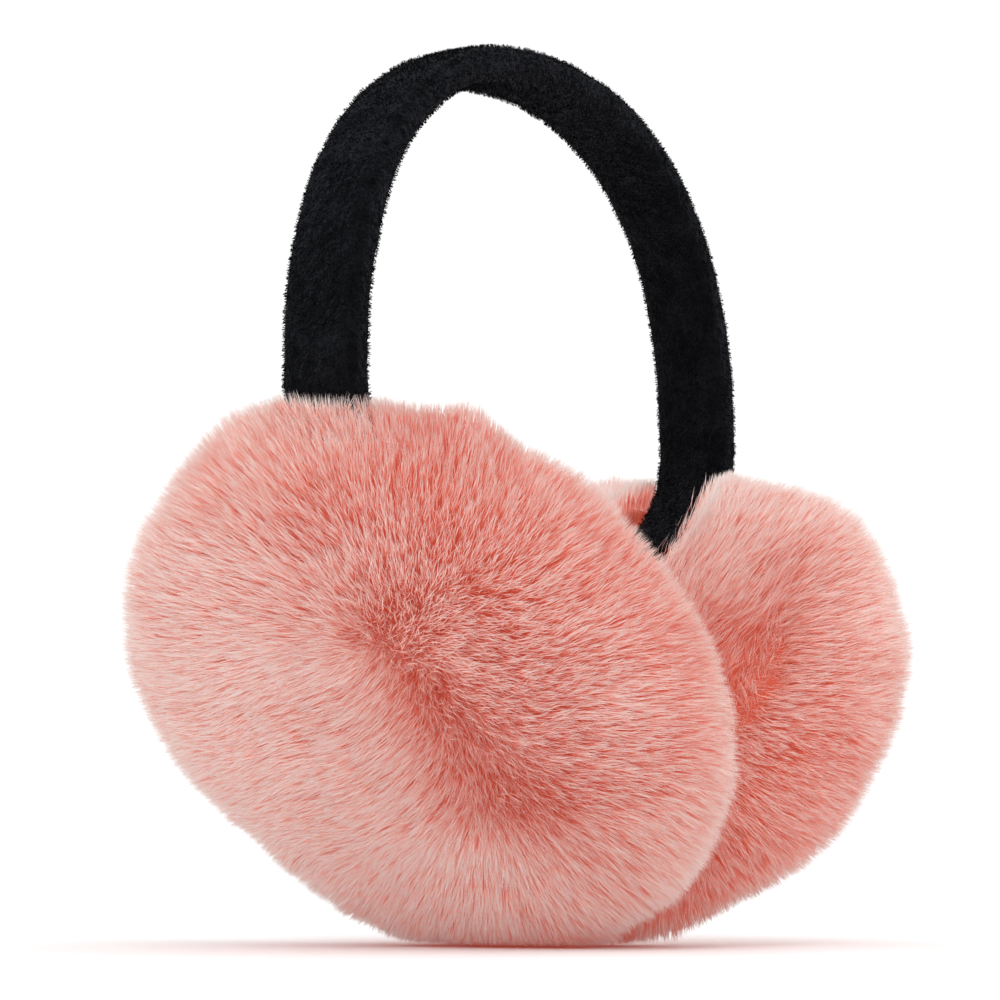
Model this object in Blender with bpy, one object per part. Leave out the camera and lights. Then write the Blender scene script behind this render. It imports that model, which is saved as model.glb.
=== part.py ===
# Fur earmuffs: a padded plush headband with a thick, long-haired fur muff on each end.
# The pair stands upright on its muffs. Metres, +Z up. The origin lies on the surface it stands on,
# under the middle of the headband. The wearer would face -Y, so the right ear's muff is at -X.

import bpy
import bmesh
from math import cos, pi, radians, sin
from mathutils import Vector

# Headband: the centre line is half of a rounded square above its widest level, and turns in below it
BAND_WIDTH = 0.0196
BAND_THICKNESS = 0.0070
BAND_CORNER = 0.0026
BAND_BULGE = 0.0005
BAND_HALF_SPAN = 0.0763
BAND_RISE = 0.0771
BAND_TUCK = 0.0393
BAND_SQUARENESS = 2.27
BAND_END_TURN_DEG = 143
BAND_STATIONS = 60
CORNER_STEPS = 3

# Ear muffs: each is a thick cushion of fur with a rounded rim, its top leaning away from the other muff
MUFF_RADIUS = 0.0710
MUFF_OUTER_THICKNESS = 0.0292
MUFF_INNER_THICKNESS = 0.0250
MUFF_SQUARENESS = 2.78
MUFF_LEAN_DEG = 42
BAND_END_ABOVE_CENTRE = 0.0312
BAND_END_BEHIND_MIDDLE = 0.0149
EAR_HOLLOW_DEPTH = 0.0035
EAR_HOLLOW_RADIUS = 0.022

# Locks of fur on the muff: a lock is a leaning spike raised on one patch of the backing
LOCK_RIM_LENGTH = 0.0085
LOCK_FACE_LENGTH = 0.0060
LOCK_COMB = 0.0070
LOCK_WANDER = 0.22
PARTING_REACH = 0.006
PARTED_LOCK_SHARE = 0.3
PARTING_DEPTH = 0.040
PARTING_FLARE = 0.0100
WHORL_LOCKS = 18
RIM_LOCKS = 2 * WHORL_LOCKS
RING_TILTS_DEG = (83, 70, 57, 45, 33, 20, 7)
WHORL_RINGS = 2

# Where the fur is pressed flat, and the gaps between pieces
PRESS_DEPTH = 0.0036
PRESS_RANGE = 0.013
MUFF_GAP = 0.0006
BAND_CLEARANCE = 0.0003

END_TURN = radians(BAND_END_TURN_DEG)
LEAN = radians(MUFF_LEAN_DEG)


def clear_scene():
    for item in list(bpy.data.objects):
        bpy.data.objects.remove(item, do_unlink=True)


def plain_material(name, colour, roughness):
    material = bpy.data.materials.new(name)
    material.use_nodes = True
    shader = material.node_tree.nodes["Principled BSDF"]
    shader.inputs["Base Color"].default_value = (*colour, 1.0)
    shader.inputs["Roughness"].default_value = roughness
    shader.inputs["Metallic"].default_value = 0.0
    return material


def black_plush():
    return plain_material("black_plush", (0.012, 0.012, 0.014), 0.95)


def rose_fur():
    return plain_material("rose_fur", (0.80, 0.42, 0.37), 0.90)


def signed_power(value, exponent):
    return abs(value) ** exponent * (1 if value >= 0 else -1)


def smooth_share(value):
    share = min(max(value, 0.0), 1.0)
    return share * share * (3 - 2 * share)


# Muff form, in its own frame: x across the face, y up the face, z out of the outer face

def thickness_towards(through):
    """The cushion's thickness from its middle to its outer face, or to its inner face."""
    return MUFF_OUTER_THICKNESS if through >= 0 else MUFF_INNER_THICKNESS


def form_scale(direction, rim_inset=0.0, face_inset=0.0):
    """How far to go along a direction to reach the cushion's surface, or one set in from it."""
    across = (direction.x ** 2 + direction.y ** 2) ** 0.5 / (MUFF_RADIUS - rim_inset)
    through = abs(direction.z) / (thickness_towards(direction.z) - face_inset)
    total = across ** MUFF_SQUARENESS + through ** MUFF_SQUARENESS
    return total ** (-1 / MUFF_SQUARENESS)


def form_reach(across, through):
    """The cushion's reach from its centre towards a slanted plane on its outer side."""
    dual = MUFF_SQUARENESS / (MUFF_SQUARENESS - 1)
    total = (MUFF_RADIUS * across) ** dual + (MUFF_OUTER_THICKNESS * through) ** dual
    return total ** (1 / dual)


def ring_direction(turn, tilt):
    """A direction from the cushion's centre: turn runs round the rim, tilt rises to the outer face."""
    exponent = 2 / MUFF_SQUARENESS
    across = signed_power(cos(tilt), exponent) * MUFF_RADIUS
    through = signed_power(sin(tilt), exponent) * thickness_towards(tilt)
    return Vector((across * cos(turn), across * sin(turn), through)).normalized()


def muff_up(side):
    return Vector((side * sin(LEAN), 0, cos(LEAN)))


def muff_out(side):
    return Vector((side * cos(LEAN), 0, -sin(LEAN)))


MUFF_CENTRE_HEIGHT = form_reach(cos(LEAN), sin(LEAN)) - PRESS_DEPTH


# Headband route, seen from the front: the widest level is where the legs stand upright

def arch_point(turn):
    exponent = 2 / BAND_SQUARENESS
    drop = BAND_RISE if cos(turn) >= 0 else BAND_TUCK
    return Vector((BAND_HALF_SPAN * signed_power(sin(turn), exponent), 0,
                   drop * signed_power(cos(turn), exponent)))


def muff_offset_from_band_end(side):
    return (-BAND_END_ABOVE_CENTRE * muff_up(side)
            + BAND_END_BEHIND_MIDDLE * muff_out(side))


BAND_END = arch_point(END_TURN)
WIDEST_HEIGHT = MUFF_CENTRE_HEIGHT - (BAND_END + muff_offset_from_band_end(1)).z


def band_centre(turn):
    return arch_point(turn) + Vector((0, 0, WIDEST_HEIGHT))


def muff_centre(side):
    return band_centre(side * END_TURN) + muff_offset_from_band_end(side)


def band_section(grow):
    """Points of the padded section, as (outward, along Y): rounded corners and bulged wide faces."""
    half_thick = BAND_THICKNESS / 2 + grow
    half_wide = BAND_WIDTH / 2 + grow
    corner = BAND_CORNER + grow
    points = []
    for quarter in range(4):
        middle = pi / 4 + quarter * pi / 2
        hub = (signed_power(cos(middle), 0) * (half_thick - corner),
               signed_power(sin(middle), 0) * (half_wide - corner))
        for step in range(CORNER_STEPS + 1):
            angle = quarter * pi / 2 + step * (pi / 2) / CORNER_STEPS
            points.append((hub[0] + corner * cos(angle), hub[1] + corner * sin(angle)))
        if quarter % 2 == 1:
            bulge = half_thick + BAND_BULGE
            points.append((-bulge if quarter == 1 else bulge, 0.0))
    return points


def sweep_band(name, turns, section, overrun):
    """Sweep a section along the arch, from the first turn to the last."""
    mesh = bmesh.new()
    rings = []
    for index, turn in enumerate(turns):
        nudge = 0.001
        along = (band_centre(turn + nudge) - band_centre(turn - nudge)).normalized()
        outward = Vector((-along.z, 0, along.x))
        centre = band_centre(turn)
        if index == 0:
            centre = centre - along * overrun
        if index == len(turns) - 1:
            centre = centre + along * overrun
        rings.append([mesh.verts.new(centre + outward * out + Vector((0, across, 0)))
                      for out, across in section])
    for ring, following in zip(rings, rings[1:]):
        for index in range(len(section)):
            after = (index + 1) % len(section)
            mesh.faces.new((ring[index], ring[after], following[after], following[index]))
    mesh.faces.new(rings[0])
    mesh.faces.new(rings[-1])
    bmesh.ops.recalc_face_normals(mesh, faces=mesh.faces)
    return finish(name, mesh)


def finish(name, mesh):
    data = bpy.data.meshes.new(name)
    mesh.to_mesh(data)
    mesh.free()
    item = bpy.data.objects.new(name, data)
    bpy.context.scene.collection.objects.link(item)
    return item


def hide_cutter(item):
    item.hide_render = True
    item.display_type = "WIRE"


def cut_with(item, cutter, operation):
    modifier = item.modifiers.new(cutter.name, "BOOLEAN")
    modifier.operation = operation
    modifier.object = cutter
    modifier.solver = "EXACT"


def band_turns():
    """The stations of the band, from the right ear's end over the crown to the left ear's end."""
    return [END_TURN * (2 * step / BAND_STATIONS - 1) for step in range(BAND_STATIONS + 1)]


def make_headband():
    band = sweep_band("headband", band_turns(), band_section(0.0), 0.0)
    band.data.materials.append(black_plush())
    band.data.shade_smooth()
    band.data.set_sharp_from_angle(angle=radians(50))
    return band


def leg_turns(side):
    """The band's stations on one side of the crown."""
    return [turn for turn in band_turns() if side * turn >= 0]


def make_band_pocket(side):
    """The space that the band's end fills inside a muff, with its clearance all round."""
    pocket = sweep_band(f"pocket_{side_name(side)}", leg_turns(side),
                        band_section(BAND_CLEARANCE), BAND_CLEARANCE)
    hide_cutter(pocket)
    return pocket


def make_parting(side):
    """The gap in a muff's fur that leaves the band's inner face bare down to the band's end. It
    runs level from the band towards the head, and widens on the way."""
    half_wide = BAND_WIDTH / 2 + BAND_CLEARANCE
    towards_head = Vector((-side * PARTING_DEPTH, 0, 0))
    mesh = bmesh.new()
    rings = []
    for turn in leg_turns(side):
        if cos(turn) > 0:
            continue
        middle = band_centre(turn)
        corners = [middle, middle + towards_head]
        widths = [half_wide, half_wide + PARTING_FLARE]
        rings.append([mesh.verts.new(corners[end] + Vector((0, way * widths[end], 0)))
                      for end, way in ((0, 1), (1, 1), (1, -1), (0, -1))])
    for ring, following in zip(rings, rings[1:]):
        for index in range(4):
            after = (index + 1) % 4
            mesh.faces.new((ring[index], ring[after], following[after], following[index]))
    mesh.faces.new(rings[0])
    mesh.faces.new(rings[-1])
    bmesh.ops.recalc_face_normals(mesh, faces=mesh.faces)
    parting = finish(f"parting_{side_name(side)}", mesh)
    hide_cutter(parting)
    return parting


def make_standing_room(side):
    """The block of space that one muff may fill: above the table and on its own side."""
    reach = 4 * MUFF_RADIUS
    mesh = bmesh.new()
    bmesh.ops.create_cube(mesh, size=reach)
    bmesh.ops.translate(mesh, verts=mesh.verts,
                        vec=(side * (reach + MUFF_GAP) / 2, 0, reach / 2))
    room = finish(f"room_{side_name(side)}", mesh)
    hide_cutter(room)
    return room


def side_name(side):
    return "left" if side > 0 else "right"


def muff_to_world(side, local):
    """Place a point of a muff's own frame. Its x runs to the front, so both muffs mirror each other."""
    across = Vector((0, -1, 0))
    return (muff_centre(side) + across * local.x + muff_up(side) * local.y
            + muff_out(side) * local.z)


def pressed_share(side, local):
    """1 where the fur lies pressed on the table or on the other muff, falling to 0 away from them."""
    place = muff_to_world(side, local)
    table = 1 - place.z / PRESS_RANGE
    neighbour = 1 - side * place.x / PRESS_RANGE
    return max(smooth_share(table), smooth_share(neighbour))


def parted_share(side, local):
    """1 on the band's route, where the locks part round it, falling to 0 beside it."""
    place = muff_to_world(side, local)
    level = Vector((place.x, 0, place.z))
    nearest = min((level - band_centre(turn)).length for turn in band_turns())
    off_face = max(nearest - BAND_THICKNESS / 2, 0.0)
    off_edge = max(abs(place.y) - BAND_WIDTH / 2, 0.0)
    return smooth_share(1 - (off_face ** 2 + off_edge ** 2) ** 0.5 / PARTING_REACH)


def ear_hollow(local):
    """The shallow hollow in the inner face, where the ear lies."""
    if local.z >= 0:
        return local
    spread = (local.x ** 2 + local.y ** 2) / EAR_HOLLOW_RADIUS ** 2
    return local + Vector((0, 0, EAR_HOLLOW_DEPTH / (1 + spread) ** 2))


def backing_point(side, turn, tilt):
    """A point of the backing: under the locks where they stand, and out at the form where pressed."""
    direction = ring_direction(turn, tilt)
    outer = direction * form_scale(direction)
    inner = direction * form_scale(direction, LOCK_RIM_LENGTH, LOCK_FACE_LENGTH)
    return ear_hollow(inner.lerp(outer, pressed_share(side, outer)))


def lock_tip(side, root, wander):
    """The tip of a lock: out from the muff's middle and combed towards the rim."""
    combed = root + Vector((root.x, root.y, 0)).normalized() * LOCK_COMB
    tip = ear_hollow(combed * form_scale(combed))
    length = (1 + LOCK_WANDER * wander) * (1 - pressed_share(side, tip))
    length *= 1 - (1 - PARTED_LOCK_SHARE) * parted_share(side, tip)
    return root.lerp(tip, length)


def lock_wander(ring, place, count):
    """An uneven but repeatable number from -1 to 1, the same on the front and the back of a muff."""
    mirrored = min(place, count - 1 - place)
    return sin(12.9 * (ring + 1) + 78.2 * (mirrored + 1))


def ring_tilts():
    """The rings of the backing, from the outer face round the rim to the inner face."""
    outer = [radians(angle) for angle in RING_TILTS_DEG]
    return outer + [-tilt for tilt in reversed(outer)]


def ring_counts():
    """Points in each ring: the rings next to a face's whorl have half as many as the rim."""
    outer = [WHORL_LOCKS if ring < WHORL_RINGS else RIM_LOCKS for ring in range(len(RING_TILTS_DEG))]
    return outer + outer[::-1]


def patch_edge(ring, place, count):
    """The points of a ring that one patch takes: two, or three where the ring has twice the points."""
    step = len(ring) // count
    return [ring[(place * step + extra) % len(ring)] for extra in range(step + 1)]


def raise_lock(mesh, side, patch, wander):
    root = patch.calc_center_median()
    middle = bmesh.ops.poke(mesh, faces=[patch])["verts"][0]
    middle.co = lock_tip(side, root, wander)


def furred_cushion(side):
    """The backing's rings with a lock raised on every patch, in the muff's own frame."""
    mesh = bmesh.new()
    rings = [[mesh.verts.new(backing_point(side, pi / 2 + 2 * pi * place / count, tilt))
              for place in range(count)]
             for tilt, count in zip(ring_tilts(), ring_counts())]
    whorls = [mesh.faces.new(rings[0]), mesh.faces.new(rings[-1])]
    for ring_index, (ring, following) in enumerate(zip(rings, rings[1:])):
        count = min(len(ring), len(following))
        for place in range(count):
            edges = patch_edge(ring, place, count) + patch_edge(following, place, count)[::-1]
            patch = mesh.faces.new(edges)
            raise_lock(mesh, side, patch, lock_wander(ring_index, place, count))
    bmesh.ops.poke(mesh, faces=whorls)
    return mesh


def make_ear_muff(side):
    mesh = furred_cushion(side)
    for vert in mesh.verts:
        vert.co = muff_to_world(side, vert.co)
    bmesh.ops.recalc_face_normals(mesh, faces=mesh.faces)
    muff = finish(f"ear_muff_{side_name(side)}", mesh)
    muff.data.materials.append(rose_fur())
    cut_with(muff, make_standing_room(side), "INTERSECT")
    cut_with(muff, make_parting(side), "DIFFERENCE")
    cut_with(muff, make_band_pocket(side), "DIFFERENCE")
    return muff


def build():
    clear_scene()
    make_headband()
    for side in (-1, 1):
        make_ear_muff(side)


build()
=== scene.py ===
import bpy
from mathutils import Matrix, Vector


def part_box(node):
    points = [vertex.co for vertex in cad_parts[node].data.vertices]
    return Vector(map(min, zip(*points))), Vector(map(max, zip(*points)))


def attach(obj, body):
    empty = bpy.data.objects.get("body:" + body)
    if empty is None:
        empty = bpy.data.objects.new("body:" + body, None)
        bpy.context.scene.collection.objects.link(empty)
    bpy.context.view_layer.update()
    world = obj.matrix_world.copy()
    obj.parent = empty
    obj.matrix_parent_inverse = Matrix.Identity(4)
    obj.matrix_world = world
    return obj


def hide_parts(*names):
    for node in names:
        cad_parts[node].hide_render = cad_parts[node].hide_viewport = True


bl_info = {
    "name": "Fur Earmuffs",
    "version": (1, 0, 0),
    "blender": (4, 5, 0),
    "location": "3D View > Sidebar > Earmuffs",
    "description": "Dresses a pair of earmuffs in long rose fur, with a black plush headband",
    "category": "Add Mesh",
}

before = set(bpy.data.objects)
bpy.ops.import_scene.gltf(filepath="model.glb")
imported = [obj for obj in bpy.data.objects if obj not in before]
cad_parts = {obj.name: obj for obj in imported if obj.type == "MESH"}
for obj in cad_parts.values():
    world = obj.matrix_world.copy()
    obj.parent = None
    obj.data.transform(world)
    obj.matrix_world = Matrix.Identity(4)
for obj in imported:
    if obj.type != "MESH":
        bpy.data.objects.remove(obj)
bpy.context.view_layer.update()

from math import atan2, cos, pi, radians, sin
from types import SimpleNamespace

import bmesh
import bpy
import numpy as np
from bpy.props import FloatProperty, FloatVectorProperty, IntProperty, PointerProperty
from bpy.types import Operator, Panel, PropertyGroup
from mathutils import Vector
from mathutils.kdtree import KDTree

BODY = "root"
SEED = 7

# The two muffs: the wearer's right ear is at -X, the left ear at +X
SIDES = {"right": -1, "left": 1}
FRONT = np.array((0.0, -1.0, 0.0))

BAND_LOW, BAND_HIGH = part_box("headband")

# The sleeve's section: steps round a corner, cuts along a wide face, and how near a corner its
# seam is drawn in, as a share of the corner's radius
CORNER_STEPS = 4
FACE_CUTS = 7
SEAM_REACH = 0.45
SLEEVE_STATIONS = 90

# The sizes of the sleeve's soft swells and of its creases
PADDING_SIZE = 0.020
CREASE_SIZE = 0.0045

# The plush's pile: which way it is laid and how far it wanders, as shares of standing straight,
# its range of lengths as shares, how deep it is rooted, and how deep in the muffs' fur it has to
# lie on the outer side to be left out
PILE_LIE = np.array((0.0, 0.0, -0.35))
PILE_WANDER = 0.55
PILE_TILT = 0.9
PILE_LENGTHS = (0.55, 1.15)
PILE_ROOT = 0.0002
BURIED = 0.0020
FACING_INWARD = -0.4

# How far the fur parts before the band's inner face, towards the head, how much that gap widens
# over this depth, and how unevenly its walls stand
PARTING_DEPTH = 0.040
PARTING_FLARE = 0.0160
PARTING_FUZZ = 0.0012

# Steps along the band's end, where the fur parts, and the least slant by which the band's
# thickness is divided there
PARTING_STEPS = 120
LEAST_SLANT = 0.3

# The outer face's fur closes over the band from here outwards, as a share of its thickness
CLOSED_ABOVE = -0.12

# Where each muff's fur stands higher or lower than its even form, as by wear: the way from the
# muff's middle in its own frame, how wide the swell is, as an angle, and its height
SWELLS = {
    "right": (((-0.25, 0.96, -0.12), 0.24, 0.0032),
              ((0.47, 0.86, -0.20), 0.10, 0.0042),
              ((0.76, 0.63, -0.18), 0.12, 0.0016),
              ((-0.84, -0.46, 0.28), 0.36, -0.0032)),
    "left": (((-0.33, 0.92, -0.22), 0.10, 0.0045),
             ((0.64, 0.75, -0.10), 0.20, 0.0018),
             ((0.85, -0.46, 0.25), 0.20, 0.0020)),
}

# The line that the outer face's hairs spread from, in the muff's own frame, and how near the
# surface they do so, as a share of the way out
SPINE_TOP = np.array((0.0127, 0.0257, 0.0))
SPINE_FOOT = np.array((0.0171, -0.0150, 0.0))
SPINE_RISE = 0.5

# Where the fur opens beside that line, showing its roots, with its hairs painted darker and redder as
# shade there, and how wide
OPENING_SHIFT = np.array((0.0115, 0.0125, 0.0))
OPENING_SPREAD = 0.017

# The fold round the ear pad fades out up the inner face: where it ends, and over what height
FOLD_TOP = 0.036
FOLD_FADE = 0.034

# The pelt: steps round its rim and across its faces, how far it keeps from the other muff's side,
# as a share of its room round the band, and below which angle its edges are smooth
PELT_SEGMENTS = 144
PELT_RINGS = 60
MEETING_SHARE = 0.25
SMOOTH_BELOW = radians(40)

# Hairs are picked from this many tries each, weighed by the area that they stand for
TRIES = 6
LEAST_FACING = 0.05
FULL_WEIGHT = 0.995

# How the hairs turn: over what length their lie wanders, in how many waves and how steep those
# are, and how far tufts, locks and the fold turn them
LIE_WANDER = 0.035
WAVES = 6
WAVE_STEEPNESS = 0.6
TUFT_TURN = 0.5
LOCK_TURN = 0.4
FOLD_TURN = 1.2

# How far the tips reach past the form or fall short of it: by tuft, by lock, all of them, by
# chance, and where the fur opens
TUFT_REACH = (-0.0005, 0.0002)
LOCK_REACH = 0.0004
TIP_REACH = 0.0009
TIP_FALL = 0.0011
OPENED_FALL = 0.0012

# The ranges of a tuft's pull, a hair's length and a hair's width, as shares, and how far a hair
# twists off the surface
PULLS = (0.3, 1.0)
HAIR_LENGTHS = (0.8, 1.1)
HAIR_WIDTHS = (0.6, 1.3)
HAIR_TWIST = 0.35

# What makes up a hair's tone: the least, then the shares of its own, its tuft and its lock
LEAST_TONE = 0.20
OWN_TONE = 0.45
TUFT_TONE = 0.15
LOCK_TONE = 0.15

# How unevenly the fur stops before the other muff and before the floor, how far it is pushed up
# and out for each unit that it gives way, and from which share of the middle's height it is
MEETING_SLACK = (0.0003, 0.0022)
FLOOR_SLACK = (0.0002, 0.0012)
PUSHED_UP = 0.35
PUSHED_OUT = 0.3
PUSHED_ABOVE = 0.6

# A hair is a flat kite: how far along it is widest. Its map has its tone across, within a narrow
# strip, and the way along the hair upwards
HAIR_WIDEST = 0.62
HAIR_MAP = "OFBake"
HAIR_MAP_WIDTH = 0.004
HAIR_MAP_EDGE = 0.005
TONE_RANGE = (0.01, 0.99)

# How far along a hair its foot gives way to its middle and that to its tip, and the painted glow
# fades
FOOT_FADES = (0.30, 0.75)
TIP_GROWS = (0.45, 0.85)
GLOW_FADES = (0.45, 0.9)

# The range of tones over which a hair's foot turns paler and how far it does, the range over
# which its tip turns paler and how pale the least is, and the share of its colour in the tips'
# painted glow
FOOT_TONES = (0.15, 0.60)
FOOT_PALER = 0.75
TIP_TONES = (0.0, 0.6)
LEAST_PALE = 0.45
TIP_GLOW = 0.25

# How dark the pelt's darker patches are, as a share of the roots' colour
PATCH_SHADE = 0.8

# The plush: how much of its painted sheen comes from brushed patches and from its grain, how much its
# grain and its lumps raise it, and the least painted sheen of a hair of its pile
BRUSHED_SHEEN = 0.6
GRAIN_SHEEN = 0.4
RAISED_GRAIN = 0.6
RAISED_LUMPS = 1.4
LEAST_SHEEN = 0.35

# The lamps' names, places, sizes and watts, and what they point at
LAMPS = (("key_light", (-0.9, -0.9, 1.3), 0.9, 7.0),
         ("fill_light", (0.9, -1.1, 0.7), 1.2, 3.0))
LAMPS_AIM = (0.0, 0.0, 0.08)

# The camera's place, what it points at, its sensor in millimetres and its nearest view
CAMERA_PLACE = (-0.6073, -0.4036, 0.0165)
CAMERA_AIM = (-0.0109, 0.0, 0.0995)
SENSOR_WIDTH = 36.0
CLIP_START = 0.01

FLOOR_SIZE = 8.0


def length_property(name, description, default):
    return FloatProperty(name=name, description=description, default=default, min=0.0,
                         unit="LENGTH", precision=4)


def share_property(name, description, default):
    return FloatProperty(name=name, description=description, default=default, min=0.0, max=1.0,
                         subtype="FACTOR")


def colour_property(name, description, default):
    return FloatVectorProperty(name=name, description=description, default=default, size=3,
                               min=0.0, max=1.0, subtype="COLOR")


class EARMUFFS_PG_band(PropertyGroup):
    """Sizes and colours of the headband."""

    width: length_property("Width", "Width of the band, front to back", BAND_HIGH.y - BAND_LOW.y)
    thickness: length_property("Thickness", "Thickness of the padded band", 0.0070)
    corner: length_property("Corner", "Radius of the band's padded corners", 0.0026)
    bulge: length_property("Bulge", "How far the wide faces swell", 0.0005)
    rise: length_property("Rise", "From the widest level up to the crown's centre line", 0.0771)
    tuck: length_property("Tuck", "Height over which the ends turn in below the widest level", 0.0393)
    squareness: FloatProperty(name="Squareness", description="2 is a round arch, more is squarer",
                              default=2.27, min=1.5, max=6.0)
    end_turn: FloatProperty(name="End turn", description="Where the ends stop, from the crown",
                            default=radians(143), subtype="ANGLE")
    seam_depth: length_property("Seam depth", "Depth of the seams along the inner corners", 0.0009)
    crease: length_property("Crease", "How far the plush creases in and out", 0.0006)
    pile_length: length_property("Pile length", "Length of the plush's pile", 0.0009)
    pile_width: length_property("Pile width", "Width of a hair of the pile", 0.00022)
    pile_hairs: IntProperty(name="Pile hairs", description="How many hairs the plush has",
                            default=60000, min=0)
    colour: colour_property("Colour", "Colour down in the pile", (0.0012, 0.0013, 0.0016))
    # The bloom is painted sheen: the bluish grey that the plush's nap and pile tips show in the light
    sheen_bloom: colour_property("Bloom", "Colour of the pile's tips", (0.0085, 0.0090, 0.0108))


class EARMUFFS_PG_muff(PropertyGroup):
    """Sizes of one muff. Both are alike and mirror each other, but for the swells of their fur."""

    radius: length_property("Radius", "Radius of the fur's outer form", 0.0710)
    outer_thickness: length_property("Outer thickness", "From the middle to the outer face", 0.0292)
    inner_thickness: length_property("Inner thickness", "From the middle to the inner face", 0.0250)
    squareness: FloatProperty(name="Squareness", description="2 is a round cushion, more is squarer",
                              default=2.78, min=1.5, max=6.0)
    lean: FloatProperty(name="Lean", description="How far the tops lean apart",
                        default=radians(42), subtype="ANGLE")
    centre_out: length_property("Centre out", "Each muff's centre, out from the middle", 0.0390)
    press_depth: length_property("Press depth", "How far the fur is pressed flat underneath", 0.0036)
    hollow_depth: length_property("Hollow depth", "Depth of the hollow in the inner face", 0.0035)
    hollow_radius: length_property("Hollow radius", "Radius of the hollow", 0.022)
    fold_radius: length_property("Fold radius", "Radius of the fold round the ear pad's fur", 0.056)
    fold_width: length_property("Fold width", "Half the width of the fold", 0.0085)
    fold_depth: length_property("Fold depth", "Depth of the fold", 0.0065)
    pelt_depth: length_property("Pelt depth", "From the fur's form in to the pelt", 0.0085)
    pelt_back: length_property("Pelt back", "From the middle to the notch for the band", 0.0038)
    notch_room: length_property("Notch room", "Room round the band's end in the notch", 0.0015)


class EARMUFFS_PG_fur(PropertyGroup):
    """Length, lie, density and colours of the fur."""

    hairs: IntProperty(name="Hairs", description="How many hairs each muff has", default=190000,
                       min=0)
    hair_length: length_property("Hair length", "Length of a hair", 0.0092)
    hair_width: length_property("Hair width", "Width of a hair where it is widest", 0.00017)
    curl: share_property("Curl", "How far hairs bend, as a share of their length", 0.015)
    sweep: share_property("Sweep", "0: hairs stand straight up, 1: straight out from the middle",
                          0.92)
    ruffle: share_property("Ruffle", "How unevenly the hairs point", 0.09)
    tuft_spacing: length_property("Tuft spacing", "Distance between small tufts", 0.0020)
    tuft_pull: share_property("Tuft pull", "How far a tuft's hairs draw together", 0.20)
    lock_spacing: length_property("Lock spacing", "Distance between large locks", 0.0095)
    root_colour: colour_property("Root colour", "Colour deep in the fur", (0.56, 0.10, 0.055))
    middle_colour: colour_property("Middle colour", "Colour halfway up the fur", (0.85, 0.49, 0.415))
    tip_colour: colour_property("Tip colour", "Colour of the fur's tips", (0.83, 0.73, 0.69))
    # Where the fur opens and in the fold, each hair's tone drops, so its foot keeps the roots' coral
    # and its tip pales less: painted shade of the parting's depth
    opened_shade: share_property("Opening", "How far the roots' colour shows where the fur parts", 0.60)
    # The glow is painted light: a coral emission in the fur's depths that lifts their shade, standing
    # in for light passed on through the hairs
    glow_colour: colour_property("Glow colour", "Colour of the light in the fur's depths",
                                 (1.0, 0.14, 0.07))
    glow: share_property("Glow", "Light that the depths of the fur pass on", 0.15)


class EARMUFFS_PG_stage(PropertyGroup):
    """Floor, light and camera."""

    floor_colour: colour_property("Floor colour", "Colour of the floor", (0.93, 0.93, 0.93))
    sky: FloatProperty(name="Sky", description="Brightness of the plain white surroundings",
                       default=1.1, min=0.0)
    lens: FloatProperty(name="Lens", description="Focal length of the camera, in millimetres",
                        default=116.1, min=1.0)


# Places and forms

def signed_power(value, exponent):
    return np.sign(value) * np.abs(value) ** exponent


def unit(vectors):
    return vectors / np.maximum(np.linalg.norm(vectors, axis=-1, keepdims=True), 1e-12)


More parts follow.
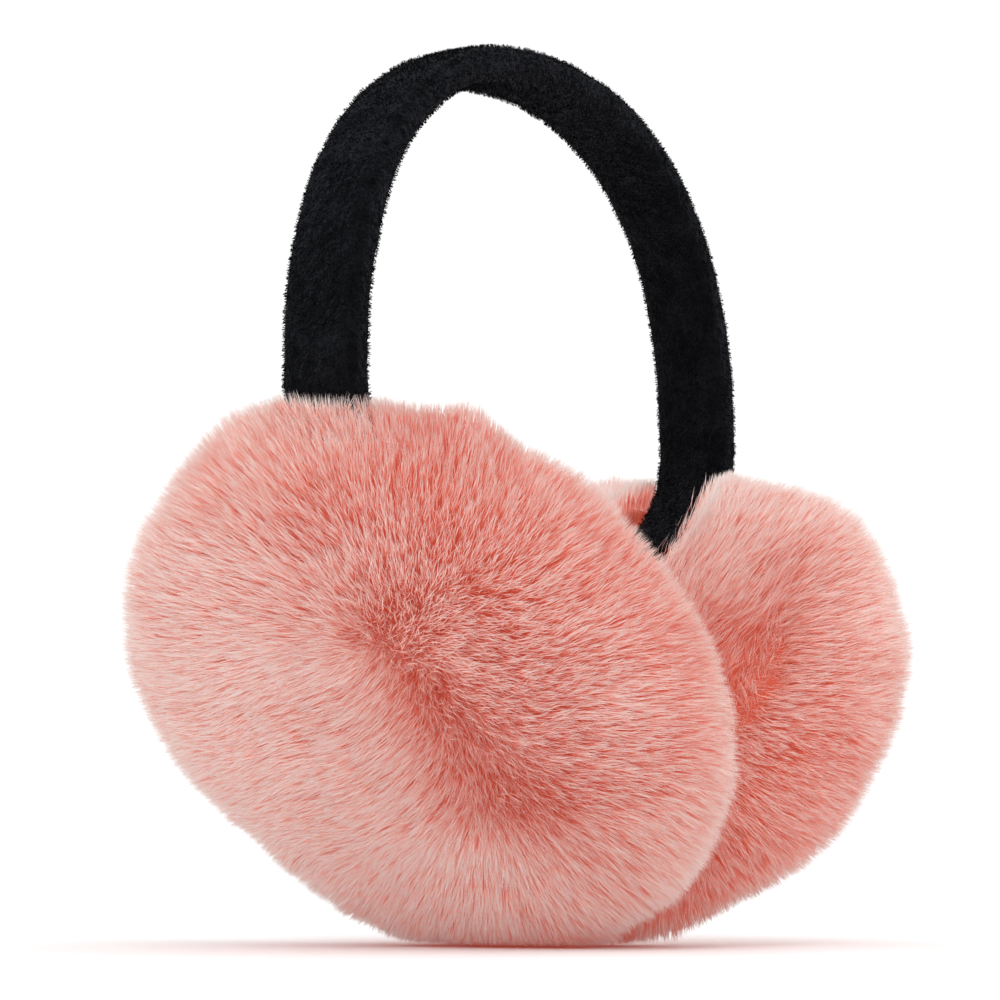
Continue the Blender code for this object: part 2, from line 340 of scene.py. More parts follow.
class MuffForm:
    """The cushion that a muff's fur fills. In its own frame, x runs to the front, y up the face
    and z out of the outer face."""

    def __init__(self, muff, name):
        side = SIDES[name]
        self.radius = muff.radius
        self.outer, self.inner = muff.outer_thickness, muff.inner_thickness
        self.power = muff.squareness
        self.hollow_depth, self.hollow_radius = muff.hollow_depth, muff.hollow_radius
        self.fold_radius, self.fold_width = muff.fold_radius, muff.fold_width
        self.fold_depth = muff.fold_depth
        self.side = side
        self.swells = SWELLS[name]
        lean = muff.lean
        self.up = np.array((side * sin(lean), 0.0, cos(lean)))
        self.out = np.array((side * cos(lean), 0.0, -sin(lean)))
        dual = self.power / (self.power - 1)
        reach = ((self.radius * cos(lean)) ** dual + (self.outer * sin(lean)) ** dual) ** (1 / dual)
        self.centre = np.array((side * muff.centre_out, 0.0, reach - muff.press_depth))

    def thickness_towards(self, through):
        return np.where(through >= 0, self.outer, self.inner)

    def reach_along(self, directions):
        """How far the form lies from its centre along each direction."""
        across = np.hypot(directions[:, 0], directions[:, 1]) / self.radius
        through = np.abs(directions[:, 2]) / self.thickness_towards(directions[:, 2])
        reach = (across ** self.power + through ** self.power) ** (-1 / self.power)
        for way, spread, height in self.swells:
            apart = ((directions - way) ** 2).sum(1)
            reach += height * np.exp(-apart / spread ** 2)
        return reach[:, None]

    def hollowed(self, local):
        """The hollow where the ear lies, in the inner face."""
        spread = (local[:, 0] ** 2 + local[:, 1] ** 2) / self.hollow_radius ** 2
        lift = np.where(local[:, 2] < 0, self.hollow_depth / (1 + spread) ** 2, 0.0)
        return local + lift[:, None] * np.array((0.0, 0.0, 1.0))

    def normals(self, local):
        """The way out of the form at each of its points."""
        across = np.hypot(local[:, 0], local[:, 1]) ** (self.power - 2) / self.radius ** self.power
        thickness = self.thickness_towards(local[:, 2])
        through = signed_power(local[:, 2], self.power - 1) / thickness ** self.power
        return unit(np.stack((local[:, 0] * across, local[:, 1] * across, through), 1))

    def spine(self, local):
        """The nearest point of the line that the outer face's fur parts from."""
        along = SPINE_FOOT - SPINE_TOP
        share = np.clip((local - SPINE_TOP) @ along / (along @ along), 0, 1)
        depth = np.clip(local[:, 2:] / self.outer, 0, 1)
        rise = SPINE_RISE * np.maximum(local[:, 2:], 0.0) * np.array((0.0, 0.0, 1.0))
        return (SPINE_TOP + share[:, None] * along) * depth + rise

    def fold(self, local):
        """Where the fur folds round the ear pad: its share, and the way off it along the face."""
        across = np.hypot(local[:, 0], local[:, 1])
        beyond = (across - self.fold_radius) / self.fold_width
        share = np.where(local[:, 2] < 0, np.exp(-beyond ** 2), 0.0)
        share *= np.clip((FOLD_TOP - local[:, 1]) / FOLD_FADE, 0.0, 1.0)
        rimward = local * np.array((1.0, 1.0, 0.0)) / np.maximum(across, 1e-6)[:, None]
        return share[:, None], rimward * np.clip(beyond, -1, 1)[:, None]

    def depth(self, world):
        """How deep inside the form points of the world lie."""
        local = (world - self.centre) @ np.array((FRONT, self.up, self.out)).T
        distance = np.linalg.norm(local, axis=1)
        return self.reach_along(unit(local))[:, 0] - distance

    def world(self, local):
        return self.centre + self.turned(local)

    def turned(self, ways):
        """Ways in the muff's own frame, turned to the world's."""
        return ways[:, :1] * FRONT + ways[:, 1:2] * self.up + ways[:, 2:] * self.out


class Arch:
    """The headband's centre line, seen from the front."""

    def __init__(self, band):
        self.half_span = BAND_HIGH.x - band.thickness / 2 - band.bulge
        self.band = band
        self.widest = BAND_HIGH.z - band.thickness / 2 - band.bulge - band.rise

    def point(self, turn):
        exponent = 2 / self.band.squareness
        drop = np.where(np.cos(turn) >= 0, self.band.rise, self.band.tuck)
        x = self.half_span * signed_power(np.sin(turn), exponent)
        z = self.widest + drop * signed_power(np.cos(turn), exponent)
        return np.stack((x, np.zeros_like(x), z), -1)

    def tangent(self, turn, nudge=0.001):
        return unit(self.point(turn + nudge) - self.point(turn - nudge))


# Meshes

def only(item=None):
    """Deselect everything, then select one object and make it active."""
    bpy.ops.object.select_all(action="DESELECT")
    if item is not None:
        item.select_set(True)
        bpy.context.view_layer.objects.active = item


def apply_place(item):
    only(item)
    bpy.ops.object.transform_apply(location=True, rotation=True, scale=True)


def apply_modifiers(item):
    only(item)
    for modifier in list(item.modifiers):
        bpy.ops.object.modifier_apply(modifier=modifier.name)


def select_edges(item, wanted):
    """In edit mode, select the edges that pass a test."""
    bpy.ops.mesh.select_mode(type="EDGE")
    mesh = bmesh.from_edit_mesh(item.data)
    for edge in mesh.edges:
        edge.select = bool(wanted(edge))
    mesh.select_flush_mode()
    bmesh.update_edit_mesh(item.data)


def hair_mesh(name, lines, sides, widths, tones):
    """One mesh of flat hairs, each a kite of two triangles. lines is hairs x 3 x 3: root, widest
    point and tip. sides is the way across each hair. The map runs across by tone, up by length."""
    hairs = len(lines)
    half = sides * (widths[:, None] / 2)
    root, middle, tip = lines.transpose(1, 0, 2)
    places = np.stack((root, middle + half, middle - half, tip), 1)
    loops = (np.arange(hairs)[:, None] * 4 + np.array((0, 1, 2, 2, 1, 3))).ravel()

    mesh = bpy.data.meshes.new(name)
    mesh.vertices.add(hairs * 4)
    mesh.vertices.foreach_set("co", places.astype(np.float32).ravel())
    mesh.loops.add(len(loops))
    mesh.loops.foreach_set("vertex_index", loops.astype(np.int32))
    mesh.polygons.add(hairs * 2)
    mesh.polygons.foreach_set("loop_start", np.arange(0, len(loops), 3, dtype=np.int32))

    uv = np.empty((hairs, 4, 2))
    uv[:, :, 0] = np.clip(tones, *TONE_RANGE)[:, None]
    uv[:, :, 0] += np.array((0.0, 0.5, -0.5, 0.0)) * HAIR_MAP_WIDTH
    up = np.array((0.0, HAIR_WIDEST, HAIR_WIDEST, 1.0))
    uv[:, :, 1] = HAIR_MAP_EDGE + (1 - 2 * HAIR_MAP_EDGE) * up
    layer = mesh.uv_layers.new(name=HAIR_MAP)
    layer.data.foreach_set("uv", uv.reshape(-1, 2)[loops].astype(np.float32).ravel())
    mesh.update(calc_edges=True)
    mesh.validate()
    item = bpy.data.objects.new(name, mesh)
    bpy.context.scene.collection.objects.link(item)
    return item


# Shader maths

class Value:
    """A number that varies over a surface. Sums and products of it add Math nodes."""

    def __init__(self, shader, socket):
        self.shader, self.socket = shader, socket

    def maths(self, operation, other):
        if isinstance(other, Value):
            other = other.socket
        return Value(self.shader, self.shader.node(
            "ShaderNodeMath", {"operation": operation}, {0: self.socket, 1: other}).outputs[0])

    def __add__(self, other):
        return self.maths("ADD", other)

    __radd__ = __add__

    def __mul__(self, other):
        return self.maths("MULTIPLY", other)

    __rmul__ = __mul__

    def between(self, low, high):
        """0 at low, 1 at high, smooth between."""
        return Value(self.shader, self.shader.node(
            "ShaderNodeMapRange", {"interpolation_type": "SMOOTHSTEP"},
            {"Value": self.socket, "From Min": low, "From Max": high}).outputs["Result"])


class Shader:
    """A material's nodes, with its Principled surface ready."""

    def __init__(self, name, **sockets):
        self.material = bpy.data.materials.new(name)
        self.material.use_nodes = True
        self.tree = self.material.node_tree
        self.surface = self.tree.nodes["Principled BSDF"]
        for socket, value in sockets.items():
            self.surface.inputs[socket.replace("_", " ")].default_value = value

    def node(self, kind, settings=None, inputs=None):
        made = self.tree.nodes.new(kind)
        for setting, value in (settings or {}).items():
            setattr(made, setting, value)
        for socket, value in (inputs or {}).items():
            self.feed(made.inputs[socket], value)
        return made

    def feed(self, socket, value):
        if isinstance(value, Value):
            value = value.socket
        if isinstance(value, bpy.types.NodeSocket):
            self.tree.links.new(value, socket)
        else:
            socket.default_value = value

    def mixed(self, share, low, high):
        """A colour between two colours, by a share."""
        made = self.node("ShaderNodeMix", {"data_type": "RGBA"})
        self.feed(made.inputs["Factor"], share)
        for socket, colour in ((made.inputs[6], low), (made.inputs[7], high)):
            self.feed(socket, (*colour, 1.0) if isinstance(colour, tuple) else colour)
        return made.outputs[2]

    def noise(self, scale, detail=2.0):
        place = self.node("ShaderNodeTexCoord").outputs["Object"]
        made = self.node("ShaderNodeTexNoise", {},
                         {"Vector": place, "Scale": scale, "Detail": detail})
        return Value(self, made.outputs["Fac"])

    def hair_map(self):
        """Tone across the map and the way along a hair, from its root to its tip."""
        place = self.node("ShaderNodeUVMap", {"uv_map": HAIR_MAP}).outputs["UV"]
        parts = self.node("ShaderNodeSeparateXYZ", {}, {0: place})
        return Value(self, parts.outputs["X"]), Value(self, parts.outputs["Y"])

    def bump(self, height, distance):
        made = self.node("ShaderNodeBump", {}, {"Height": height, "Distance": distance})
        self.feed(self.surface.inputs["Normal"], made.outputs["Normal"])


def fur_material(name, fur):
    """Fur that is coral at the root and pale rose at the tip, each hair in its own tone."""
    # The emission strength is the fur's painted glow
    shader = Shader(name, Roughness=0.8, Sheen_Weight=0.2, Sheen_Roughness=0.5,
                    Emission_Strength=fur.glow)
    shader.surface.inputs["Specular IOR Level"].default_value = 0.2
    tone, along = shader.hair_map()
    root, middle, tip = (tuple(c) for c in (fur.root_colour, fur.middle_colour, fur.tip_colour))
    foot = shader.mixed(tone.between(*FOOT_TONES) * FOOT_PALER, root, middle)
    deep = shader.mixed(along.between(*FOOT_FADES), foot, middle)
    paleness = LEAST_PALE + (1 - LEAST_PALE) * tone.between(*TIP_TONES)
    pale = along.between(*TIP_GROWS) * paleness
    shader.feed(shader.surface.inputs["Base Color"], shader.mixed(pale, deep, tip))
    # Painted glow: coral emission low on each hair, fading to a dim share of the tip colour at the
    # tip
    glow = shader.mixed(along.between(*GLOW_FADES), tuple(fur.glow_colour),
                        tuple(TIP_GLOW * part for part in tip))
    shader.feed(shader.surface.inputs["Emission Color"], glow)
    return shader.material


def pelt_material(name, fur):
    """The pelt that the fur grows from, seen only between hairs. It gives off a painted coral glow.
    """
    # The pelt gives off the same painted coral glow as the fur's depths, lifting the shade between
    # the hairs
    shader = Shader(name, Roughness=0.95, Emission_Strength=fur.glow)
    shader.surface.inputs["Emission Color"].default_value = (*fur.glow_colour, 1.0)
    root = tuple(fur.root_colour)
    patches = shader.noise(scale=260.0, detail=3.0).between(low=0.3, high=0.7)
    colour = shader.mixed(patches, tuple(PATCH_SHADE * part for part in root), root)
    shader.feed(shader.surface.inputs["Base Color"], colour)
    shader.bump(shader.noise(scale=900.0), distance=0.0006)
    return shader.material


def plush_material(name, band):
    """Black plush: near black, with a bluish grey sheen painted in brushed patches and a fine grain.
    """
    shader = Shader(name, Roughness=0.9, Sheen_Weight=0.05, Sheen_Roughness=0.5)
    shader.surface.inputs["Sheen Tint"].default_value = (0.62, 0.68, 0.85, 1.0)
    shader.surface.inputs["Specular IOR Level"].default_value = 0.05
    low, high = tuple(band.colour), tuple(band.sheen_bloom)
    brushed_sheen = shader.noise(scale=120.0, detail=3.0).between(low=0.35, high=0.75)
    grain = shader.noise(scale=1400.0)
    # Painted sheen: the bloom colour in brushed patches and a fine grain
    colour = shader.mixed(brushed_sheen * BRUSHED_SHEEN + grain * GRAIN_SHEEN, low, high)
    shader.feed(shader.surface.inputs["Base Color"], colour)
    lumps = shader.noise(scale=420.0, detail=3.0)
    shader.bump(grain * RAISED_GRAIN + lumps * RAISED_LUMPS, distance=0.0012)
    return shader.material


def pile_material(name, band):
    """The hairs of the plush: black roots and tips in a painted bluish grey sheen, each in its own
    tone.
    """
    shader = Shader(name, Roughness=0.8)
    shader.surface.inputs["Specular IOR Level"].default_value = 0.04
    tone, along = shader.hair_map()
    low, high = tuple(band.colour), tuple(band.sheen_bloom)
    # Painted sheen: the tips take the bloom colour, each hair by its tone
    colour = shader.mixed(along * (LEAST_SHEEN + (1 - LEAST_SHEEN) * tone), low, high)
    shader.feed(shader.surface.inputs["Base Color"], colour)
    return shader.material


# Headband

def band_outline(band):
    """Model the band's padded section as a flat face at the origin: X out, Y front to back."""
    only()
    bpy.ops.mesh.primitive_plane_add(size=1.0)
    item = bpy.context.object
    bpy.ops.object.mode_set(mode="EDIT")
    bpy.ops.transform.resize(value=(band.thickness, band.width, 1.0))
    bpy.ops.mesh.bevel(offset=band.corner, segments=CORNER_STEPS, affect="VERTICES")
    select_edges(item, lambda edge: edge.calc_length() > band.width / 2)
    bpy.ops.mesh.subdivide(number_cuts=FACE_CUTS)
    mesh = bmesh.from_edit_mesh(item.data)
    for vert in mesh.verts:
        across = vert.co.y / (band.width / 2)
        swell = band.bulge * max(1 - across ** 2, 0.0)
        vert.co.x += swell if vert.co.x > 0 else -swell
        half_wide = band.width / 2 if vert.co.y > 0 else -band.width / 2
        inner_corner = Vector((-band.thickness / 2, half_wide))
        if (vert.co.xy - inner_corner).length < band.corner * SEAM_REACH:
            vert.co.xy -= inner_corner.normalized() * band.seam_depth
    bmesh.update_edit_mesh(item.data)
    bpy.ops.object.mode_set(mode="OBJECT")
    return item


class EARMUFFS_OT_headband(Operator):
    """Make the plush headband: a padded sleeve and its pile"""

    bl_idname = "earmuffs.headband"
    bl_label = "Headband"

    def execute(self, context):
        band = context.scene.earmuffs_band
        sleeve = make_sleeve(band)
        sleeve.data.materials.append(plush_material("black_plush_sleeve", band))
        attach(sleeve, BODY)
        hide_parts("headband")
        forms = [MuffForm(context.scene.earmuffs_muff, name) for name in SIDES]
        pile = make_pile(sleeve, band, forms)
        pile.data.materials.append(pile_material("black_plush_pile", band))
        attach(pile, BODY)
        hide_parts("headband")
        return {"FINISHED"}


def make_sleeve(band):
    """Extrude the section along the arch, one station at a time."""
    arch = Arch(band)
    sleeve = band_outline(band)
    sleeve.name = sleeve.data.name = "headband_sleeve"
    turns = np.linspace(-band.end_turn, band.end_turn, SLEEVE_STATIONS + 1)
    places, ways = arch.point(turns), arch.tangent(turns)
    slants = [atan2(way[0], way[2]) for way in ways]
    only(sleeve)
    sleeve.rotation_euler = (0.0, slants[0], 0.0)
    sleeve.location = places[0]
    apply_place(sleeve)
    bpy.ops.object.mode_set(mode="EDIT")
    bpy.ops.mesh.select_all(action="SELECT")
    for place, following, slant, next_slant in zip(places, places[1:], slants, slants[1:]):
        bpy.ops.mesh.extrude_region_move(
            TRANSFORM_OT_translate={"value": tuple(following - place)})
        turn = (next_slant - slant + pi) % (2 * pi) - pi
        bpy.ops.transform.rotate(value=-turn, orient_axis="Y", center_override=tuple(following))
    bpy.ops.mesh.select_all(action="SELECT")
    bpy.ops.mesh.normals_make_consistent(inside=False)
    bpy.ops.object.mode_set(mode="OBJECT")
    bpy.ops.object.shade_smooth()
    crease_sleeve(sleeve, band)
    return sleeve


def crease_sleeve(sleeve, band):
    """Round the sleeve off and crease it softly, as plush over padding does."""
    rounding = sleeve.modifiers.new("rounding", "SUBSURF")
    rounding.levels = rounding.render_levels = 1
    for name, size in (("padding", PADDING_SIZE), ("creases", CREASE_SIZE)):
        clouds = bpy.data.textures.new(f"sleeve_{name}", "CLOUDS")
        clouds.noise_scale = size
        clouds.noise_depth = 2
        push = sleeve.modifiers.new(name, "DISPLACE")
        push.texture = clouds
        push.strength = band.crease
        push.mid_level = 0.5
    apply_modifiers(sleeve)


def make_pile(sleeve, band, forms):
    """Short hairs over the sleeve, laid a little towards the ends, but for those that would lie
    under the muffs' outer fur."""
    rng = np.random.default_rng(SEED)
    sleeve.data.calc_loop_triangles()
    triangles = sleeve.data.loop_triangles
    corners = np.array([[sleeve.data.vertices[i].co for i in t.vertices] for t in triangles])
    normals = np.array([t.normal for t in triangles])
    areas = np.array([t.area for t in triangles])
    picked = rng.choice(len(areas), band.pile_hairs, p=areas / areas.sum())
    share = rng.random((band.pile_hairs, 2))
    share = np.where(share.sum(1, keepdims=True) > 1, 1 - share, share)
    a, b, c = corners[picked].transpose(1, 0, 2)
    root = a + (b - a) * share[:, :1] + (c - a) * share[:, 1:]
    lean = rng.normal(0, PILE_WANDER, (band.pile_hairs, 3)) + PILE_LIE
    way = unit(normals[picked] + lean * PILE_TILT)
    length = band.pile_length * rng.uniform(*PILE_LENGTHS, band.pile_hairs)
    tip = root + way * length[:, None]
    side = unit(np.cross(way, rng.normal(0, 1, (band.pile_hairs, 3))))
    width = np.full(band.pile_hairs, band.pile_width)
    foot = root - way * PILE_ROOT
    lines = np.stack((foot, foot + (tip - foot) * HAIR_WIDEST, tip), 1)
    tones = rng.random(band.pile_hairs)
    shown = np.ones(band.pile_hairs, dtype=bool)
    for form in forms:
        shown &= (form.depth(root) < BURIED) | (normals[picked] @ form.out < FACING_INWARD)
    return hair_mesh("headband_pile", lines[shown], side[shown], width[shown], tones[shown])


# Muffs

class EARMUFFS_OT_muffs(Operator):
    """Make both muffs: a padded pelt, and the fur on its outer face, rim and inner face"""

    bl_idname = "earmuffs.muffs"
    bl_label = "Fur muffs"

    def execute(self, context):
        scene = context.scene
        muff, fur = scene.earmuffs_muff, scene.earmuffs_fur
        arch = Arch(scene.earmuffs_band)
        fur_look = fur_material("rose_fur_hair", fur)
        pelt_look = pelt_material("rose_fur_pelt", fur)
        for name, side in SIDES.items():
            form = MuffForm(muff, name)
            parting = Parting(arch, side)
            pelt = make_pelt(f"ear_muff_{name}_pelt", form, muff, parting)
            pelt.data.materials.append(pelt_look)
            pieces = [pelt]
            for piece in make_fur(f"ear_muff_{name}", form, fur, parting, SEED + side):
                piece.data.materials.append(fur_look)
                pieces.append(piece)
            for piece in pieces:
                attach(piece, BODY)
                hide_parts(f"ear_muff_{name}")
        return {"FINISHED"}


def make_pelt(name, form, muff, parting):
    """The padded body under the fur: the muff's form drawn in on all sides, with a notch in its
    inner side for the band's end and for the gap before it."""
    only()
    bpy.ops.mesh.primitive_uv_sphere_add(segments=PELT_SEGMENTS, ring_count=PELT_RINGS)
    pelt = bpy.context.object
    pelt.name = pelt.data.name = name
    ways = unit(np.array([vert.co for vert in pelt.data.vertices]))
    places = ways * form.reach_along(ways)
    places = form.hollowed(places - form.normals(places) * muff.pelt_depth)
    x, y, z = form.world(places).T
    near = parting.around(x, z)
    below_end = z < parting.floor - muff.notch_room - parting.half_thick
    notch = ~below_end & (np.abs(y) < near.limit + muff.notch_room)
    places[:, 2] = np.where(notch, np.maximum(places[:, 2], -muff.pelt_back), places[:, 2])
    world = form.world(places)
    world[:, 0] = form.side * np.maximum(form.side * world[:, 0], muff.notch_room * MEETING_SHARE)
    world[:, 2] = np.maximum(world[:, 2], muff.notch_room)
    pelt.data.vertices.foreach_set("co", world.astype(np.float32).ravel())
    pelt.data.update()
    bpy.ops.object.mode_set(mode="EDIT")
    bpy.ops.mesh.select_all(action="SELECT")
    bpy.ops.mesh.normals_make_consistent(inside=False)
    bpy.ops.object.mode_set(mode="OBJECT")
    bpy.ops.object.shade_smooth_by_angle(angle=SMOOTH_BELOW)
    return pelt


def spread_over(form, count, rng):
    """Points spread evenly over the muff's form, and its area."""
    tries = unit(rng.normal(0, 1, (TRIES * count, 3)))
    places = tries * form.reach_along(tries)
    facing = (form.normals(places) * tries).sum(1)
    area = (places ** 2).sum(1) / np.maximum(facing, LEAST_FACING)
    kept = places[rng.random(len(tries)) < area / np.quantile(area, FULL_WEIGHT)]
    return kept[:count], 4 * pi * area.mean()


def waviness(points, scale, rng):
    """A smooth wandering vector at each point, of about unit size, repeating over about scale."""
    total = np.zeros_like(points)
    for _ in range(WAVES):
        way = rng.normal(0, 1, (3, 3)) * (2 * pi / scale) * WAVE_STEEPNESS
        total += np.sin(points @ way + rng.uniform(0, 2 * pi, 3))
    return total / WAVES ** 0.5


class Tufts:
    """Gathers points round some of them that are picked about a spacing apart."""

    def __init__(self, points, area, spacing, rng):
        self.count = int(area / spacing ** 2)
        self.picked = rng.choice(len(points), self.count, replace=False)
        tree = KDTree(self.count)
        for index, place in enumerate(points[self.picked]):
            tree.insert(place, index)
        tree.balance()
        self.of = np.array([tree.find(place)[1] for place in points])

    def share(self, values):
        """Give each point its tuft's value."""
        return values[self.of]

    def middle(self, values):
        """Give each point the value at the middle of its tuft."""
        return values[self.picked][self.of]


class Parting:
    """Where one muff's fur makes way: for the band's end, and for the gap before its inner face."""

    def __init__(self, arch, side):
        band = arch.band
        turns = np.linspace(pi / 2, band.end_turn, PARTING_STEPS)
        self.line, self.along = arch.point(turns), arch.tangent(turns)
        self.floor, self.top = self.line[-1, 2], self.line[0, 2]
        self.half_thick, self.half_wide = band.thickness / 2 + band.bulge, band.width / 2
        self.pile = band.pile_length
        self.side = side

    def around(self, x, z):
        """At each point's level: the band's place and half its thickness, how far the point lies
        inwards from the band, and how wide the gap is there."""
        band_x = np.interp(-z, -self.line[:, 2], self.line[:, 0])
        slant = np.interp(-z, -self.line[:, 2], -self.along[:, 2])
        half_x = self.half_thick / np.maximum(slant, LEAST_SLANT)
        inward = band_x - self.side * x
        limit = self.half_wide + PARTING_FLARE * np.clip(inward / PARTING_DEPTH, 0, 1)
        return SimpleNamespace(band_x=band_x, half_x=half_x, inward=inward, limit=limit)


def parted(lines, parting, outer, rng):
    """Push the fur aside where it parts. A hair goes to one wall with all its points: behind the
    band, under its end, or beside it. The outer face's hairs close over the band, so all of those
    go behind it."""
    side, floor = parting.side, parting.floor
    x, y, z = np.moveaxis(lines, 2, 0)
    near = parting.around(x, z)
    band_x, half_x, inward, limit = near.band_x, near.half_x, near.inward, near.limit
    overhang = rng.exponential(PARTING_FUZZ, len(lines))[:, None]
    limit = limit - overhang * np.clip((inward - half_x) / parting.half_thick, 0, 1)
    gap = np.where(outer[:, None], half_x, PARTING_DEPTH)
    inside = ((np.abs(y) < limit) & (z > floor) & (z < parting.top)
              & (inward > -half_x) & (inward < gap))

    hairs = np.arange(len(lines))
    guide = np.where(inside[:, -1], 2, np.where(inside[:, 1], 1, 0))
    behind = outer | (inward[hairs, guide] < 0)
    beside = (limit - np.abs(y))[hairs, guide]
    under = ~behind & ((z - floor)[hairs, guide] < beside)
    aside = ~behind & ~under
    fuzz = rng.exponential(PARTING_FUZZ, len(lines))[:, None]
    way = np.where(y[hairs, guide] < 0, -1, 1)[:, None]
    wall = side * (band_x + half_x + parting.pile + fuzz)
    lines[:, :, 0] = np.where(inside & behind[:, None], wall, x)
    lines[:, :, 1] = np.where(inside & aside[:, None], way * (limit + fuzz), y)
    lines[:, :, 2] = np.where(inside & under[:, None], floor - fuzz, z)
    return lines


def make_fur(name, form, fur, parting, seed):
    """Grow hairs inwards from the muff's form, and split them into three like pieces."""
    rng = np.random.default_rng(seed)
    places, area = spread_over(form, fur.hairs, rng)
    count = len(places)
    small = Tufts(places, area, fur.tuft_spacing, rng)
    large = Tufts(places, area, fur.lock_spacing, rng)
    fold, off_fold = form.fold(places)
    spine = form.spine(places)
    off_opening = (places - spine - OPENING_SHIFT)[:, :2]
    near_spine = np.exp(-(off_opening ** 2).sum(1) / OPENING_SPREAD ** 2)
    opened = np.where(places[:, 2] > 0, near_spine, 0.0) + fold[:, 0]
    normals = form.normals(places)
    grow = normals * (1 - fur.sweep) + unit(places - spine) * fur.sweep
    grow += fold * off_fold * FOLD_TURN
    grow += waviness(places, LIE_WANDER, rng) * fur.ruffle
    grow += small.share(rng.normal(0, fur.ruffle * TUFT_TURN, (small.count, 3)))
    grow += large.share(rng.normal(0, fur.ruffle * LOCK_TURN, (large.count, 3)))
    ruffle = fur.ruffle * (1 + opened)[:, None]
    grow = unit(grow + rng.normal(0, 1, (count, 3)) * ruffle)

    tips = form.hollowed(places) - normals * fold * form.fold_depth
    pull = fur.tuft_pull * small.share(rng.uniform(*PULLS, small.count))[:, None]
    tips += (small.middle(tips) - tips) * pull
    reach = small.share(rng.uniform(*TUFT_REACH, small.count))
    reach += large.share(rng.normal(0, LOCK_REACH, large.count))
    reach += TIP_REACH - rng.exponential(TIP_FALL, count) - OPENED_FALL * opened
    tips += grow * reach[:, None]
    length = fur.hair_length * rng.uniform(*HAIR_LENGTHS, count)[:, None]
    roots = tips - grow * length
    middles = tips - grow * length * (1 - HAIR_WIDEST)
    middles += rng.normal(0, fur.curl, (count, 3)) * length

    lines = np.stack((roots, middles, tips), 1)
    world = pressed(form.world(lines.reshape(-1, 3)), form, rng)
    outer = places[:, 2] > form.outer * CLOSED_ABOVE
    lines = parted(world.reshape(count, 3, 3), parting, outer, rng)
    way = unit(lines[:, 2] - lines[:, 1])
    facing = form.turned(normals)
    side = unit(np.cross(way, facing) + rng.normal(0, HAIR_TWIST, (count, 3)))
    widths = fur.hair_width * rng.uniform(*HAIR_WIDTHS, count)
    tones = TUFT_TONE * small.share(rng.random(small.count))
    tones += LOCK_TONE * large.share(rng.random(large.count))
    # Tones drop where the fur opens and in the fold: painted shade, darker and redder hairs in the
    # partings
    tones += LEAST_TONE + OWN_TONE * rng.random(count) - fur.opened_shade * opened

    order = np.argsort(-places[:, 2], kind="stable")
    thirds = np.array_split(order, 3)
    return [hair_mesh(f"{name}_{zone}_fur", lines[part], side[part], widths[part], tones[part])
            for zone, part in zip(("outer", "rim", "inner"), thirds)]


def pressed(world, form, rng):
    """Keep the fur on its own side of the other muff and above the floor, where it lies flat."""
    side = form.side
    slack = rng.uniform(*MEETING_SLACK, len(world))
    over = np.maximum(slack - side * world[:, 0], 0.0)
    world[:, 0] += side * over
    world[:, 2] += over * PUSHED_UP * (world[:, 2] > form.centre[2] * PUSHED_ABOVE)
    below = np.maximum(rng.uniform(*FLOOR_SLACK, len(world)) - world[:, 2], 0.0)
    world[:, 2] += below
    world[:, 0] += side * below * PUSHED_OUT
    return world


# Stage

class EARMUFFS_OT_stage(Operator):
    """Make the pale floor, the soft studio light and the camera"""

    bl_idname = "earmuffs.stage"
    bl_label = "Stage"

    def execute(self, context):
        stage = context.scene.earmuffs_stage
        make_floor(stage)
        make_sky(stage)
        make_lamps()
        make_camera(stage)
        return {"FINISHED"}


def make_floor(stage):
    only()
    bpy.ops.mesh.primitive_plane_add(size=FLOOR_SIZE)
    floor = bpy.context.object
    floor.name = floor.data.name = "floor"
    shader = Shader("pale_floor", Roughness=0.8)
    shader.surface.inputs["Base Color"].default_value = (*stage.floor_colour, 1.0)
    shader.surface.inputs["Specular IOR Level"].default_value = 0.1
    floor.data.materials.append(shader.material)


def make_sky(stage):
    world = bpy.data.worlds.new("white_studio")
    world.use_nodes = True
    background = world.node_tree.nodes["Background"]
    background.inputs["Color"].default_value = (1.0, 1.0, 1.0, 1.0)
    background.inputs["Strength"].default_value = stage.sky
    bpy.context.scene.world = world
    bpy.context.scene.view_settings.view_transform = "Standard"


def aim(item, target):
    away = item.location - Vector(target)
    item.rotation_euler = away.to_track_quat("Z", "Y").to_euler()


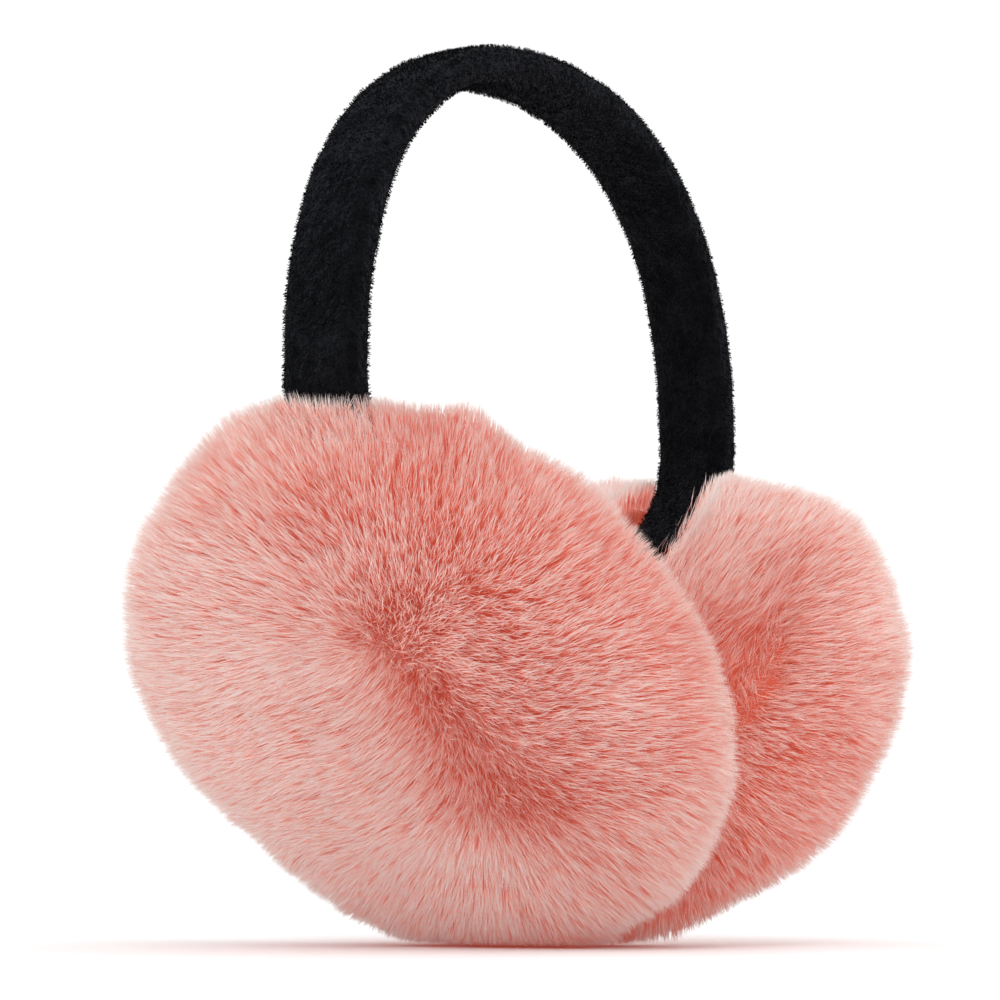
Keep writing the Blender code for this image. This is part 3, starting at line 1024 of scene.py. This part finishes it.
def make_lamps():
    for name, place, size, watts in LAMPS:
        bpy.ops.object.light_add(type="AREA", location=place)
        lamp = bpy.context.object
        lamp.name = lamp.data.name = name
        lamp.data.size = size
        lamp.data.energy = watts
        aim(lamp, LAMPS_AIM)


def make_camera(stage):
    data = bpy.data.cameras.new("camera")
    camera = bpy.data.objects.new("camera", data)
    bpy.context.scene.collection.objects.link(camera)
    camera.location = CAMERA_PLACE
    aim(camera, CAMERA_AIM)
    data.lens = stage.lens
    data.sensor_width = SENSOR_WIDTH
    data.clip_start = CLIP_START
    bpy.context.scene.camera = camera


class EARMUFFS_PT_panel(Panel):
    """Makes the earmuffs piece by piece"""

    bl_label = "Fur earmuffs"
    bl_idname = "EARMUFFS_PT_panel"
    bl_space_type = "VIEW_3D"
    bl_region_type = "UI"
    bl_category = "Earmuffs"

    def draw(self, context):
        layout = self.layout
        for group, operators in PANEL_ROWS:
            box = layout.box()
            settings = getattr(context.scene, group)
            for name in settings.bl_rna.properties.keys():
                if name not in ("rna_type", "name"):
                    box.prop(settings, name)
            for operator in operators:
                box.operator(operator)


PANEL_ROWS = (
    ("earmuffs_band", ("earmuffs.headband",)),
    ("earmuffs_muff", ()),
    ("earmuffs_fur", ("earmuffs.muffs",)),
    ("earmuffs_stage", ("earmuffs.stage",)),
)

GROUPS = {
    "earmuffs_band": EARMUFFS_PG_band,
    "earmuffs_muff": EARMUFFS_PG_muff,
    "earmuffs_fur": EARMUFFS_PG_fur,
    "earmuffs_stage": EARMUFFS_PG_stage,
}

OPERATORS = (EARMUFFS_OT_headband, EARMUFFS_OT_muffs, EARMUFFS_OT_stage)


def register():
    for item in (*GROUPS.values(), *OPERATORS, EARMUFFS_PT_panel):
        bpy.utils.register_class(item)
    for name, group in GROUPS.items():
        setattr(bpy.types.Scene, name, PointerProperty(type=group))


def unregister():
    for name in GROUPS:
        delattr(bpy.types.Scene, name)
    for item in (EARMUFFS_PT_panel, *reversed(OPERATORS), *reversed(GROUPS.values())):
        bpy.utils.unregister_class(item)


def main():
    register()
    bpy.ops.earmuffs.headband()
    bpy.ops.earmuffs.muffs()
    bpy.ops.earmuffs.stage()


if __name__ == "__main__":
    main()
